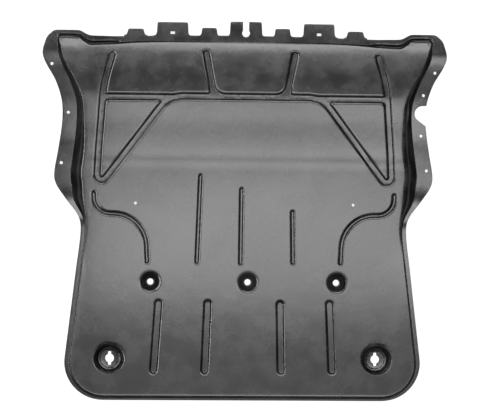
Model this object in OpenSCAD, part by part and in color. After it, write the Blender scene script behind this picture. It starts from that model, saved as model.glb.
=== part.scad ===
// Engine splash shield: one moulded sheet that closes the underside of an engine bay.
// It lies with its road side up. +Y is the front edge with the tabs, X runs across, Z is up.
// The origin is on the floor, under the middle of the shield.

/* [Sheet] */
// Thickness of the moulded sheet
sheet_t = 3; // [2:0.25:4]
// Height of the main panel's upper face above the floor
panel_z = 36; // [32:0.5:44]
// How far the front of the panel rises above the main panel
front_rise = 8; // [4:0.5:14]
// How far the panel falls towards its rear edge
rear_fall = 5; // [2:0.5:8]
// Height of the rear rim's upper face above the floor
rim_z = 19; // [14:0.5:24]
// Height of the front lip's upper face above the floor
lip_z = 34; // [28:0.5:38]

/* [Plan outline] */
// Width over the two front wings
wing_w = 928; // [890:1:960]
// Width at the neck behind the wings
neck_w = 840; // [800:1:870]
// Width at the flare in front of the waist
flare_w = 876; // [850:1:910]
// Width at the waist
waist_w = 748; // [710:1:780]
// Width at the rear, before the corners
rear_w = 817; // [780:1:850]
// Distance from the middle to the front lip's edge
front_y = 402; // [396:1:420]
// Distance from the middle to the rear edge
rear_y = 434; // [410:1:450]
// Radius of the two rear corners
corner_r = 88; // [60:1:110]

/* [Side flanges] */
// Width of the flange along the wings
wing_flange = 34; // [28:1:40]
// Width of the flange at the flare
flare_flange = 37; // [30:1:44]
// Width of the rim behind the waist
rim_w = 9; // [7:0.5:12]
// Width of the rim along the rear edge
rear_rim_w = 5; // [4:0.5:9]
// Run of the side wall at the wings, seen from above
wing_run = 12; // [9:0.5:16]
// Run of the side wall at the flare, seen from above
flare_run = 29; // [22:0.5:34]
// Run of the rim wall behind the waist, seen from above
rim_run = 5; // [4:0.5:8]

/* [Notch in the right flange] */
// Radius of the notch
notch_r = 18; // [12:0.5:22]
// Distance of the notch from the middle, along the side
notch_y = 230; // [215:1:245]

/* [Front tabs] */
// Reach of the long tabs past the lip's edge
long_tab = 32; // [20:1:40]
// Reach of the short tabs past the lip's edge
short_tab = 17; // [10:1:24]
// Width of the centre tab
centre_tab_w = 72; // [60:1:84]
// Width of the slot in the centre tab
centre_slot_w = 14; // [8:1:18]
// Width of the wide tabs
wide_tab_w = 70; // [56:1:80]
// Width of the inner narrow tabs
inner_tab_w = 34; // [26:1:40]
// Width of the outer narrow tabs
outer_tab_w = 36; // [26:1:42]
// Distance from the middle to the inner narrow tabs
inner_tab_x = 84; // [80:1:88]
// Distance from the middle to the wide tabs
wide_tab_x = 168; // [158:1:176]
// Distance from the middle to the outer narrow tabs
outer_tab_x = 252; // [242:1:262]
// Length of the slot in a wide tab
tab_slot_l = 10; // [8:0.5:16]
// Width of the slot in a wide tab
tab_slot_w = 6; // [5:0.5:8]

/* [Rear bolt cups] */
// Distance of the rear cups from the middle, across
rear_cup_x = 306; // [290:1:316]
// Distance of the rear cups from the middle, towards the rear
rear_cup_y = 340; // [325:1:350]
// Radius of a rear cup at its mouth
rear_cup_mouth_r = 35; // [30:0.5:40]
// Radius of a rear cup's floor
rear_cup_floor_r = 24; // [20:0.5:27]
// Diameter of the round hole in a rear cup
rear_hole_d = 20; // [14:0.5:24]
// Length of the key slot across that hole
key_slot_l = 31; // [26:0.5:36]
// Width of the key slot
key_slot_w = 7; // [5:0.5:8]

/* [Middle bolt cups] */
// Places of the three middle cups, across
mid_cup_x = [-214, 9, 213];
// Distance of the middle cups from the middle, towards the rear
mid_cup_y = 163; // [155:1:172]
// Radius of a middle cup at its mouth
mid_cup_mouth_r = 23; // [20:0.5:26]
// Radius of a middle cup's floor
mid_cup_floor_r = 12; // [10:0.5:15]
// Depth of a middle cup
mid_cup_depth = 20; // [12:0.5:28]
// Diameter of the hole in a middle cup
mid_hole_d = 14; // [10:0.5:18]

/* [Fixing holes] */
// Distance of the flange holes from the outer edge
hole_inset = 13; // [11:0.5:16]
// Diameter of the small holes in the flanges and the panel
small_hole_d = 7; // [5:0.25:8]
// Distance of the panel's two small holes from the middle, across
panel_hole_x = 249; // [235:1:262]
// Distance of the panel's two small holes from the middle, towards the front
panel_hole_y = 16; // [8:1:30]

/* [Beads] */
// Depth of the wide beads
wide_bead_d = 4; // [2.5:0.25:6]
// Depth of the narrow beads
narrow_bead_d = 4; // [2.5:0.25:6]
// Width of the frame beads in the front half
frame_bead_w = 16; // [12:0.5:20]
// Width of the long beads near the rear edge
rear_bead_w = 18; // [14:0.5:22]
// Width of the narrow beads
narrow_bead_w = 10; // [9:0.5:13]

/* [Hidden] */

// Rounding of the bead sides and of the wall: sideways run for each unit of depth
bead_draft = 0.85;
// Sideways shift of the sheet's lower face at a wall
wall_shift = 0.55 * sheet_t;
// How far a cutting tool passes the faces it cuts
past = 1;
// How far a welded piece stays inside the sheet's faces
inset = 0.2;

// Smooth curve through rows of [y, a, b, ...], given from front to rear
function slope(rows, i, c) =
    let (p = max(i - 1, 0), q = min(i + 1, len(rows) - 1))
    (rows[q][c] - rows[p][c]) / (rows[q][0] - rows[p][0]);
function row_at(rows, y, i = 0) =
    (i >= len(rows) - 2 || y >= rows[i + 1][0]) ? i : row_at(rows, y, i + 1);
function curve(rows, y, c) =
    y >= rows[0][0] ? rows[0][c]
    : y <= rows[len(rows) - 1][0] ? rows[len(rows) - 1][c]
    : let (
        i = row_at(rows, y),
        span = rows[i + 1][0] - rows[i][0],
        u = (y - rows[i][0]) / span,
        a = rows[i][c],
        b = rows[i + 1][c],
        ma = slope(rows, i, c) * span,
        mb = slope(rows, i + 1, c) * span
    )
    (2 * u ^ 3 - 3 * u ^ 2 + 1) * a + (u ^ 3 - 2 * u ^ 2 + u) * ma
    + (3 * u ^ 2 - 2 * u ^ 3) * b + (u ^ 3 - u ^ 2) * mb;

// Where the side outline starts behind the wings, and where it meets the rear corners
side_start_y = front_y - 34;
side_end_y = corner_r - rear_y;

// Upper face of the panel along the shield's length
front_z = panel_z + front_rise;
panel_rows = [
    [front_y - 14, front_z - 4],
    [front_y - 21, front_z - 1.2],
    [front_y - 32, front_z],
    [290, front_z],
    [262, panel_z + 0.93 * front_rise],
    [205, panel_z + 0.66 * front_rise],
    [150, panel_z + 0.44 * front_rise],
    [128, panel_z + 0.3 * front_rise],
    [108, panel_z + 0.04 * front_rise],
    [96, panel_z],
    [-180, panel_z],
    [-300, panel_z - 0.25 * rear_fall],
    [-rear_y, panel_z - rear_fall],
];
function panel_top(y) = curve(panel_rows, y, 1);

// Upper face of the side flange and rim along the shield's length
flange_rows = [
    [side_start_y, lip_z],
    [347, lip_z - 3],
    [301, lip_z - 12],
    [255, sheet_t + 9],
    [209, sheet_t + 3],
    [163, sheet_t],
    [62, sheet_t],
    [25, sheet_t + 3],
    [-21, rim_z - 2],
    [-46, rim_z],
    [-rear_y, rim_z],
];
function flange_top(y) = min(max(curve(flange_rows, y, 1), sheet_t), panel_top(y) - 4);

// Half width of the outline, flange width and wall run, from the wings to the rear corners
side_rows = [
    [side_start_y, wing_w / 2 - 1, wing_flange, wing_run - 3],
    [352, wing_w / 2, wing_flange + 2, wing_run],
    [324, wing_w / 2 - 13, wing_flange + 1, wing_run],
    [301, wing_w / 2 - 27, wing_flange - 2, wing_run + 3],
    [255, neck_w / 2 + 2, wing_flange - 1, wing_run + 6],
    [209, neck_w / 2, wing_flange - 1, flare_run - 9],
    [140, flare_w / 2 - 9, flare_flange - 2, flare_run - 1],
    [83, flare_w / 2, flare_flange, flare_run],
    [60, flare_w / 2 - 4, flare_flange - 1, flare_run],
    [25, flare_w / 2 - 28, 17, flare_run - 3],
    [-14, waist_w / 2 + 6, rim_w, 2 * rim_run],
    [-44, waist_w / 2, rim_w, rim_run + 1],
    [-136, waist_w / 2 + 10, rim_w, rim_run],
    [side_end_y, rear_w / 2, rim_w, rim_run],
];
side_steps = 46;

// A station is [outer edge, wall foot, wall brow], each a point [x, y] on the right half
front_stations = [
    [[30, front_y], [30, front_y - 12], [30, front_y - 14]],
    [[120, front_y - 1], [120, front_y - 13], [120, front_y - 16]],
    [[190, front_y - 2], [190, front_y - 14], [190, front_y - 18]],
    [[255, front_y - 3], [255, front_y - 15], [253, front_y - 21]],
    [[300, front_y - 3], [300, front_y - 17], [297, front_y - 26]],
    [[356, front_y - 3], [357, front_y - 18], [361, front_y - 27]],
    [[363, front_y - 1], [365, front_y - 15], [370, front_y - 24]],
    [[378, front_y + 7], [380, front_y - 6], [385, front_y - 14]],
    [[wing_w / 2 - 64, front_y + 8], [wing_w / 2 - 64, front_y - 5], [wing_w / 2 - 65, front_y - 12]],
    [[wing_w / 2 - 28, front_y + 7], [wing_w / 2 - 38, front_y - 7], [wing_w / 2 - 45, front_y - 15]],
    [[wing_w / 2 - 10, front_y - 11], [wing_w / 2 - 35, front_y - 14], [wing_w / 2 - 41, front_y - 20]],
];
function side_station(y) =
    let (
        edge = curve(side_rows, y, 1),
        foot = edge - curve(side_rows, y, 2),
        brow = foot - curve(side_rows, y, 3)
    )
    [[edge, y], [foot, y], [brow, y]];
function corner_station(a) =
    let (
        cx = rear_w / 2 - corner_r,
        rim = rim_w + (rear_rim_w - rim_w) * a / 90,
        radii = [corner_r, corner_r - rim, corner_r - rim - rim_run]
    )
    [for (r = radii) [cx + r * cos(a), side_end_y - r * sin(a)]];
stations = concat(
    front_stations,
    [for (i = [0:side_steps]) side_station(side_start_y + (side_end_y - side_start_y) * i / side_steps)],
    [for (a = [10:10:90]) corner_station(a)]
);
last_front = len(front_stations) - 1;

// Rings of the sheet, from the outer edge up the wall to the panel: share of the run and of the rise
wall_shape = [[0, 0], [0.1, 0.03], [0.25, 0.16], [0.6, 0.72], [0.78, 0.91], [1, 1]];
function ring_point(s, k, mirrored, under) =
    let (
        foot = s[1],
        brow = s[2],
        inward = (brow - foot) / norm(brow - foot),
        base = k < 0 ? s[0] : foot + (brow - foot) * wall_shape[k][0],
        p = (under && k >= 0) ? base + inward * wall_shift : base,
        low = s[0][1] > side_start_y ? lip_z : flange_top(foot[1]),
        high = panel_top((under ? brow + inward * wall_shift : brow)[1]),
        z = k < 0 ? low : low + (high - low) * wall_shape[k][1]
    )
    [mirrored ? -p[0] : p[0], p[1], under ? z - sheet_t : z];
ring_n = 2 * len(stations);
function ring(k, under) = concat(
    [for (s = stations) ring_point(s, k, false, under)],
    [for (i = [len(stations) - 1:-1:0]) ring_point(stations[i], k, true, under)]
);

// Points of the line across the panel that the front edge is joined to, the right half and the left half
function cap_line(under) = [
    for (side = [1, -1], i = [0:last_front])
        [side * 0.98 * stations[i][2][0], side_start_y, panel_top(side_start_y) - (under ? sheet_t : 0)]
];

// The formed sheet: nested rings climb from the rim to the panel, and strips across close the panel
ring_count = len(wall_shape) + 1;
module formed_sheet() {
    n = len(stations);
    first = last_front + 1;
    line_n = first;
    sheet_points = concat(
        [for (k = [-1:ring_count - 2]) each ring(k, false)],
        [for (k = [-1:ring_count - 2]) each ring(k, true)],
        cap_line(false),
        cap_line(true)
    );
    under_0 = ring_count * ring_n;
    brow_0 = under_0 - ring_n;
    line_0 = 2 * under_0;
    function flip(faces) = [for (f = faces) [f[2], f[1], f[0]]];
    function quad(a, b, c, d) = [[a, b, c], [a, c, d]];
    function band(outer, inner) = [
        for (i = [0:ring_n - 1])
            let (j = (i + 1) % ring_n)
            each quad(outer + i, outer + j, inner + j, inner + i)
    ];
    function cap(brow, line) =
        let (
            R = function (i) brow + i,
            L = function (i) brow + ring_n - 1 - i,
            P = function (i) i > last_front ? R(i) : line + i,
            Q = function (i) i > last_front ? L(i) : line + line_n + i
        )
        concat(
            quad(L(0), R(0), P(0), Q(0)),
            [for (i = [0:last_front - 1]) each quad(R(i), R(i + 1), P(i + 1), P(i))],
            [for (i = [0:last_front - 1]) each quad(L(i + 1), L(i), Q(i), Q(i + 1))],
            [[R(last_front), R(first), P(last_front)], [L(first), L(last_front), Q(last_front)]],
            [for (i = [0:last_front]) [P(i), P(i + 1), R(first + 1)]],
            [for (i = [0:last_front]) [Q(i + 1), Q(i), L(first + 1)]],
            quad(Q(0), P(0), R(first + 1), L(first + 1)),
            [for (i = [first + 1:n - 2]) each quad(L(i), R(i), R(i + 1), L(i + 1))]
        );
    upper = concat(
        [for (k = [0:ring_count - 2]) each band(k * ring_n, (k + 1) * ring_n)],
        cap(brow_0, line_0)
    );
    lower = concat(
        [for (k = [0:ring_count - 2]) each band(under_0 + k * ring_n, under_0 + (k + 1) * ring_n)],
        cap(under_0 + brow_0, line_0 + 2 * line_n)
    );
    polyhedron(sheet_points, concat(upper, flip(lower), flip(band(0, under_0))));
}

// Paths of the beads, as points [x, y]
function unit(v) = v / norm(v);
function line_path(a, b, steps) = [for (i = [0:steps]) a + (b - a) * i / steps];
function arc_path(c, r, from, to, steps) =
    [for (i = [0:steps]) let (a = from + (to - from) * i / steps) c + r * [cos(a), sin(a)]];
function mirrored(path) = [for (p = path) [-p[0], p[1]]];
function reversed(path) = [for (i = [len(path) - 1:-1:0]) path[i]];

// Frame bead, right half: down the side, round the foot of the V, up the diagonal, round to the cross bead
cross_y = 261;
v_centre = [326, 80];
v_r = 11;
v_turn = 143;
shoulder_r = 65;
v_end = v_centre + v_r * [cos(v_turn), -sin(v_turn)];
shoulder_y = cross_y - shoulder_r;
shoulder_a = 180 - v_turn;
shoulder_x =
    v_end[0] - shoulder_r * cos(shoulder_a)
    - (shoulder_y + shoulder_r * sin(shoulder_a) - v_end[1]) * tan(shoulder_a);
frame_half = concat(
    line_path([303, 362], [317, 312], 3),
    arc_path([92, 246], 234, 13, 3, 3),
    line_path([328, 225], [334, 140], 3),
    arc_path(v_centre, v_r, 0, -v_turn, 7),
    line_path(v_end + [-13, 17], [shoulder_x, shoulder_y] + shoulder_r * [cos(shoulder_a), sin(shoulder_a)], 4),
    arc_path([shoulder_x, shoulder_y], shoulder_r, shoulder_a + 9, 90, 5)
);
frame_path = concat(frame_half, reversed(mirrored(frame_half)));
window_path = line_path([329, cross_y - 3], [150, cross_y - 3], 1);

// S-shaped bead on the right: down, a short turn inwards, a long turn down again
s_short_r = 38;
s_long_r = 76;
s_start = [344, 43];
s_turn_y = 30;
s_mid_y = s_turn_y - s_short_r;
s_path = concat(
    [s_start],
    arc_path([s_start[0] - s_short_r, s_turn_y], s_short_r, 0, -90, 7),
    arc_path([s_start[0] - s_short_r - 7, s_mid_y - s_long_r], s_long_r, 90, 180, 9),
    [[s_start[0] - s_short_r - s_long_r - 9, -122]]
);

// Straight beads: [from, to] on the panel. Each short bead also turns into the cross bead, towards the middle
short_beads = [[[-92, 368], [-72, cross_y]], [[114, 366], [94, cross_y]]];
foot_r = 31;
foot_turn = 11;
foot_paths = [
    for (b = short_beads)
        let (
            side = sign(b[1][0]),
            lean = (b[0][0] - b[1][0]) / (b[0][1] - b[1][1]),
            cx = b[1][0] + lean * foot_r - side * foot_r / cos(foot_turn),
            c = [cx, cross_y + foot_r],
            turn = arc_path(c, foot_r, foot_turn, 90, 5)
        )
        concat(
            [b[1] + (b[0] - b[1]) * 0.5],
            [for (p = turn) [side > 0 ? p[0] : 2 * cx - p[0], 2 * c[1] - p[1]]],
            [[cx - side * foot_r, cross_y]]
        )
];
narrow_beads = [[[-101, 84], [-108, -122]], [[-7, 54], [-8, -124]], [[110, 3], [112, -122]]];
rear_beads = [
    [[-194, -203], [-205, -373]],
    [[-82, -203], [-88, -373]],
    [[83, -204], [87, -373]],
    [[196, -203], [204, -372]],
];

// A bead is a drafted channel that follows the panel. Its ends fade out: [share of the half width, share of size]
end_shape = [[0, 0.15], [0.15, 0.55], [0.5, 0.87], [1, 1]];
module channel(path, w, depth, above, wider) {
    n = len(path);
    reach = w / 2 + wider;
    head = unit(path[1] - path[0]);
    tail = unit(path[n - 2] - path[n - 1]);
    route = concat(
        [for (e = end_shape) path[0] + head * (e[0] * reach - wider)],
        [for (i = [1:n - 2]) path[i]],
        [for (e = reversed(end_shape)) path[n - 1] + tail * (e[0] * reach - wider)]
    );
    fade = concat(
        [for (e = end_shape) e[1]],
        [for (i = [1:n - 2]) 1],
        [for (e = reversed(end_shape)) e[1]]
    );
    m = len(route);
    rings = [
        for (i = [0:m - 1])
            let (
                ahead = unit(route[min(i + 1, m - 1)] - route[max(i - 1, 0)]),
                side = [ahead[1], -ahead[0]],
                z = panel_top(route[i][1]),
                top_half = reach * fade[i] + bead_draft * above,
                low = depth * fade[i],
                low_half = max(reach * fade[i] - bead_draft * (low - wider), 0.3)
            )
            each [
                each [for (h = [top_half, -top_half]) [each (route[i] + side * h), z + above]],
                each [for (h = [-low_half, low_half]) [each (route[i] + side * h), z - low]]
            ]
    ];
    walls = [
        for (i = [0:m - 2], k = [0:3])
            let (a = 4 * i + k, b = 4 * i + (k + 1) % 4)
            each [[a, b, b + 4], [a, b + 4, a + 4]]
    ];
    e = 4 * (m - 1);
    polyhedron(rings, concat(walls, [[0, 3, 2], [0, 2, 1], [e, e + 1, e + 2], [e, e + 2, e + 3]]));
}
// Groove on the upper face, or the rib that the same bead makes on the lower face
module bead(path, w, depth, groove) {
    if (groove)
        channel(path, w, depth, past, 0);
    else
        channel(path, w, depth + sheet_t, -sheet_t / 2, wall_shift);
}
module beads(groove) {
    bead(frame_path, frame_bead_w, wide_bead_d, groove);
    for (path = [window_path, mirrored(window_path)])
        bead(path, frame_bead_w, wide_bead_d, groove);
    for (b = short_beads)
        bead(line_path(b[0], b[1], 4), frame_bead_w, wide_bead_d, groove);
    for (path = foot_paths)
        bead(path, frame_bead_w, wide_bead_d, groove);
    for (path = [s_path, mirrored(s_path)])
        bead(path, narrow_bead_w, narrow_bead_d, groove);
    for (b = narrow_beads)
        bead(line_path(b[0], b[1], 4), narrow_bead_w, narrow_bead_d, groove);
    for (b = rear_beads)
        bead(line_path(b[0], b[1], 4), rear_bead_w, wide_bead_d, groove);
}

// Tab on the front lip, with its foot flared into the lip
module tab(x, w, reach) {
    foot = front_y - 9;
    tip = front_y + reach;
    translate([x, 0, lip_z - sheet_t + inset])
        linear_extrude(sheet_t - 2 * inset)
            polygon([
                [-w / 2 - 9, foot],
                [-w / 2 - 9, front_y - 2],
                [-w / 2 - 4, front_y],
                [-w / 2 - 1, front_y + 6],
                [-w / 2, tip - 2],
                [-w / 2 + 2, tip],
                [w / 2 - 2, tip],
                [w / 2, tip - 2],
                [w / 2 + 1, front_y + 6],
                [w / 2 + 4, front_y],
                [w / 2 + 9, front_y - 2],
                [w / 2 + 9, foot],
            ]);
}
module tabs() {
    tab(0, centre_tab_w, long_tab);
    for (side = [-1, 1]) {
        tab(side * inner_tab_x, inner_tab_w, short_tab);
        tab(side * wide_tab_x, wide_tab_w, long_tab - 3);
        tab(side * outer_tab_x, outer_tab_w, short_tab - 4);
    }
}
module tab_slots() {
    low = lip_z - sheet_t - past;
    tall = sheet_t + 2 * past;
    slot_foot = front_y;
    translate([-centre_slot_w / 2, slot_foot, low]) cube([centre_slot_w, long_tab + past, tall]);
    translate([0, slot_foot + 6, low]) cylinder(h = tall, d = centre_slot_w + 4, $fn = 32);
    for (side = [-1, 1])
        translate([side * wide_tab_x - tab_slot_l / 2, front_y + 2, low]) cube([tab_slot_l, tab_slot_w, tall]);
}

// A bolt cup is a drafted well with a flat floor and a rounded mouth
module cup(x, y, floor_z, floor_r, mouth_r, inside) {
    mouth_z = panel_top(y);
    translate([x, y, 0]) rotate_extrude($fn = 64)
        polygon(
            inside
                ? [
                    [0, floor_z],
                    [floor_r, floor_z],
                    [mouth_r - 3, mouth_z - 4],
                    [mouth_r - 1, mouth_z - 1.2],
                    [mouth_r + 3, mouth_z + past],
                    [0, mouth_z + past],
                ]
                : [
                    [0, floor_z - sheet_t],
                    [floor_r + wall_shift, floor_z - sheet_t],
                    [mouth_r + wall_shift, mouth_z - sheet_t - 1],
                    [mouth_r + wall_shift + 2, mouth_z - sheet_t / 2],
                    [0, mouth_z - sheet_t / 2],
                ]
        );
}
module cups(inside) {
    for (side = [-1, 1])
        cup(side * rear_cup_x, -rear_cup_y, sheet_t, rear_cup_floor_r, rear_cup_mouth_r, inside);
    for (x = mid_cup_x)
        cup(x, -mid_cup_y, panel_top(-mid_cup_y) - mid_cup_depth, mid_cup_floor_r, mid_cup_mouth_r, inside);
}
module cup_holes() {
    for (side = [-1, 1])
        translate([side * rear_cup_x, -rear_cup_y, -past]) {
            cylinder(h = sheet_t + 2 * past, d = rear_hole_d, $fn = 64);
            translate([-key_slot_w / 2, -key_slot_l / 2, 0])
                cube([key_slot_w, key_slot_l, sheet_t + 2 * past]);
        }
    for (x = mid_cup_x)
        translate([x, -mid_cup_y, 0]) cylinder(h = panel_z, d = mid_hole_d, $fn = 48);
}

// Small round holes in the flanges and the panel
left_hole_y = [333, 224, 108];
right_hole_y = [323, 272, 179, 98];
module hole(x, y) {
    translate([x, y, -past]) cylinder(h = front_z + 2 * past, d = small_hole_d, $fn = 32);
}
module small_holes() {
    for (y = left_hole_y) hole(hole_inset - curve(side_rows, y, 1), y);
    for (y = right_hole_y) hole(curve(side_rows, y, 1) - hole_inset, y);
    for (side = [-1, 1]) hole(side * panel_hole_x, panel_hole_y);
}

// Open notch in the right flange: a round bottom that widens to the edge
module notch() {
    x = neck_w / 2 - wing_flange + 8 + notch_r;
    translate([x, notch_y, -past]) {
        cylinder(h = panel_z, r = notch_r, $fn = 48);
        linear_extrude(panel_z)
            polygon([[0, notch_r], [50, notch_r + 3], [50, -46], [16, -34], [-0.5 * notch_r, -0.86 * notch_r]]);
    }
}

// The sheet with its beads pressed in, trimmed to its stated overall width
module beaded_sheet() {
    resize([max(wing_w, neck_w + 4, flare_w), 0, 0]) difference() {
        union() {
            formed_sheet();
            beads(false);
        }
        beads(true);
    }
}

module splash_shield() {
    color([0.16, 0.16, 0.17]) difference() {
        union() {
            beaded_sheet();
            union() {
                tabs();
                cups(false);
            }
        }
        cups(true);
        cup_holes();
        small_holes();
        tab_slots();
        notch();
    }
}

splash_shield();
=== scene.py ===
"""Engine splash shield: one moulded sheet, lying road side up on a pale floor.

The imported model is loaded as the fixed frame. The shield's shown sheet is built over it, with smooth
faces and rounded edges, and gets a satin black moulded plastic finish.
"""

import logging
import math
from dataclasses import dataclass
from enum import Enum

import bpy
import numpy as np
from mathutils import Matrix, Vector
from mathutils.geometry import delaunay_2d_cdt


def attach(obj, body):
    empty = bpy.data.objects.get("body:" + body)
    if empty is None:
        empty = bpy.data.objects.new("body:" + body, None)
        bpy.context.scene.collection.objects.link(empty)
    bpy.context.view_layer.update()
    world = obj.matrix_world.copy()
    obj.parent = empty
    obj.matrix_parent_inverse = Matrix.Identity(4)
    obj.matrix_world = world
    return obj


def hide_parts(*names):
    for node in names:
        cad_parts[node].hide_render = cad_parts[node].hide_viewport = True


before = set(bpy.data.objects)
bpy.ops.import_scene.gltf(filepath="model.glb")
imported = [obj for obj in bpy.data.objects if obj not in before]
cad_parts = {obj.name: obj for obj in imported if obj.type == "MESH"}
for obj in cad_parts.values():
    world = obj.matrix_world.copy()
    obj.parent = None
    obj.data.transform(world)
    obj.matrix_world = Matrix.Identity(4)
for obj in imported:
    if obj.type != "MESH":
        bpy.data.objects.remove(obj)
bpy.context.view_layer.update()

LOG = logging.getLogger("splash_shield")
NODE = "splash_shield"
BODY = "root"
MM = 0.001
SMALL_HOLES = 9

Point = tuple[float, float]
Triple = tuple[float, float, float]
Socket = bpy.types.NodeSocket


class BeadSize(Enum):
    """Widths of the pressed beads, in millimetres."""

    FRAME = 16.0
    NARROW = 10.0
    REAR = 18.0


@dataclass(frozen=True)
class Links:
    """Small helper that adds nodes to one node tree and joins their sockets."""

    tree: bpy.types.NodeTree

    def add(self, kind: str, **values: object) -> bpy.types.Node:
        """Adds a node.

        Args:
            kind: Blender's name of the node type.
            values: attributes to set on the new node.

        Returns:
            The new node.
        """
        node = self.tree.nodes.new(kind)
        for name, value in values.items():
            setattr(node, name, value)
        return node

    def join(self, source: Socket, target: Socket) -> None:
        """Joins an output to an input."""
        self.tree.links.new(source, target)

    def math(self, operation: str, a: object, b: object) -> Socket:
        """Adds a Math node.

        Args:
            operation: what it does, such as MULTIPLY.
            a: its first value, a number or a socket.
            b: its second value, a number or a socket.

        Returns:
            The result's socket.
        """
        node = self.add("ShaderNodeMath", operation=operation)
        for value, socket in zip((a, b), node.inputs):
            self.feed(value, socket)
        return node.outputs[0]

    def feed(self, value: object, socket: Socket) -> None:
        """Sets an input to a number, or joins a socket to it.

        Args:
            value: the number or socket.
            socket: the input.
        """
        if isinstance(value, Socket):
            self.join(value, socket)
        else:
            socket.default_value = value

    def ramp(self, value: Socket, span: tuple[float, float]) -> Socket:
        """Maps a range onto 0 to 1, softly and clamped at both ends.

        Args:
            value: the socket to map.
            span: start and end of the range.

        Returns:
            The result's socket.
        """
        node = self.add("ShaderNodeMapRange", interpolation_type="SMOOTHSTEP")
        self.join(value, node.inputs["Value"])
        node.inputs["From Min"].default_value, node.inputs["From Max"].default_value = span
        return node.outputs[0]

    def noise(self, place: Socket, scale: object, detail: float, rough: float = 0.5) -> Socket:
        """Adds a noise pattern.

        Args:
            place: the coordinates' socket.
            scale: how fine it is, per metre, as a number or a socket.
            detail: how many finer layers it has.
            rough: how strong the finer layers are.

        Returns:
            The pattern's value, from 0 to 1.
        """
        node = self.add("ShaderNodeTexNoise")
        self.join(place, node.inputs["Vector"])
        self.feed(scale, node.inputs["Scale"])
        node.inputs["Detail"].default_value = detail
        node.inputs["Roughness"].default_value = rough
        return node.outputs["Fac"]


@dataclass(frozen=True)
class EffectGroup:
    """A shader node group with named inputs, shared by the materials that use the effect."""

    name: str

    def start(self, inputs: dict[str, float],
              outputs: tuple[str, ...]) -> tuple[Links, bpy.types.Node, bpy.types.Node]:
        """Makes the group's tree.

        Args:
            inputs: name and first value of each input number.
            outputs: names of the output numbers.

        Returns:
            The helper for its tree, its input node and its output node.
        """
        tree = bpy.data.node_groups.new(self.name, "ShaderNodeTree")
        tree.interface.new_socket("Place", in_out="INPUT", socket_type="NodeSocketVector")
        for name, value in inputs.items():
            socket = tree.interface.new_socket(name, in_out="INPUT", socket_type="NodeSocketFloat")
            socket.default_value = value
        for name in outputs:
            tree.interface.new_socket(name, in_out="OUTPUT", socket_type="NodeSocketFloat")
        links = Links(tree)
        return links, links.add("NodeGroupInput"), links.add("NodeGroupOutput")


@dataclass(frozen=True)
class MouldGrain(EffectGroup):
    """Fine leathery grain that the mould leaves, with a slow waviness under it."""

    name: str = "mould_grain"
    grain_scale: float = 700.0
    wave_scale: float = 9.0
    mottle_scale: float = 22.0
    grain_height: float = 0.25
    wave_height: float = 5.5

    def build(self) -> bpy.types.NodeTree:
        """Builds the group.

        Returns:
            Its node tree, with the outputs Height and Mottle.
        """
        scales = {"Grain": self.grain_scale, "Wave": self.wave_scale}
        links, source, result = self.start(scales, ("Height", "Mottle"))
        place = source.outputs["Place"]
        cells = links.add("ShaderNodeTexVoronoi", feature="SMOOTH_F1")
        links.join(place, cells.inputs["Vector"])
        links.join(source.outputs["Grain"], cells.inputs["Scale"])
        cells.inputs["Smoothness"].default_value = 0.6
        wave = links.noise(place, source.outputs["Wave"], 4.0)
        grain = links.math("MULTIPLY", cells.outputs["Distance"], self.grain_height)
        slow = links.math("MULTIPLY", wave, self.wave_height)
        links.join(links.math("ADD", grain, slow), result.inputs["Height"])
        links.join(links.noise(place, self.mottle_scale, 6.0, 0.6), result.inputs["Mottle"])
        return links.tree


@dataclass(frozen=True)
class HandlingWear(EffectGroup):
    """Thin scuffs and dull patches from stacking and handling."""

    name: str = "handling_wear"
    length: float = 6.0
    fineness: float = 160.0
    lean: float = 24.0
    patch_scale: float = 5.0
    line_span: tuple[float, float] = (0.66, 0.74)
    patch_span: tuple[float, float] = (0.5, 0.62)
    dull_span: tuple[float, float] = (0.3, 0.7)

    def build(self) -> bpy.types.NodeTree:
        """Builds the group.

        Returns:
            Its node tree, with the outputs Scuff and Dull.
        """
        scales = {"Length": self.length, "Fineness": self.fineness}
        links, source, result = self.start(scales, ("Scuff", "Dull"))
        turn = links.add("ShaderNodeMapping")
        links.join(source.outputs["Place"], turn.inputs["Vector"])
        turn.inputs["Rotation"].default_value = (0.0, 0.0, math.radians(self.lean))
        stretch = links.add("ShaderNodeCombineXYZ")
        links.join(source.outputs["Length"], stretch.inputs["X"])
        links.join(source.outputs["Fineness"], stretch.inputs["Y"])
        links.join(source.outputs["Length"], stretch.inputs["Z"])
        scaled = links.add("ShaderNodeVectorMath", operation="MULTIPLY")
        links.join(turn.outputs["Vector"], scaled.inputs[0])
        links.join(stretch.outputs["Vector"], scaled.inputs[1])
        lines = links.noise(scaled.outputs["Vector"], 1.0, 2.0, 0.4)
        patches = links.noise(source.outputs["Place"], self.patch_scale, 3.0, 0.6)
        fine, wide = links.ramp(lines, self.line_span), links.ramp(patches, self.patch_span)
        links.join(links.math("MULTIPLY", fine, wide), result.inputs["Scuff"])
        links.join(links.ramp(patches, self.dull_span), result.inputs["Dull"])
        return links.tree


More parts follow.
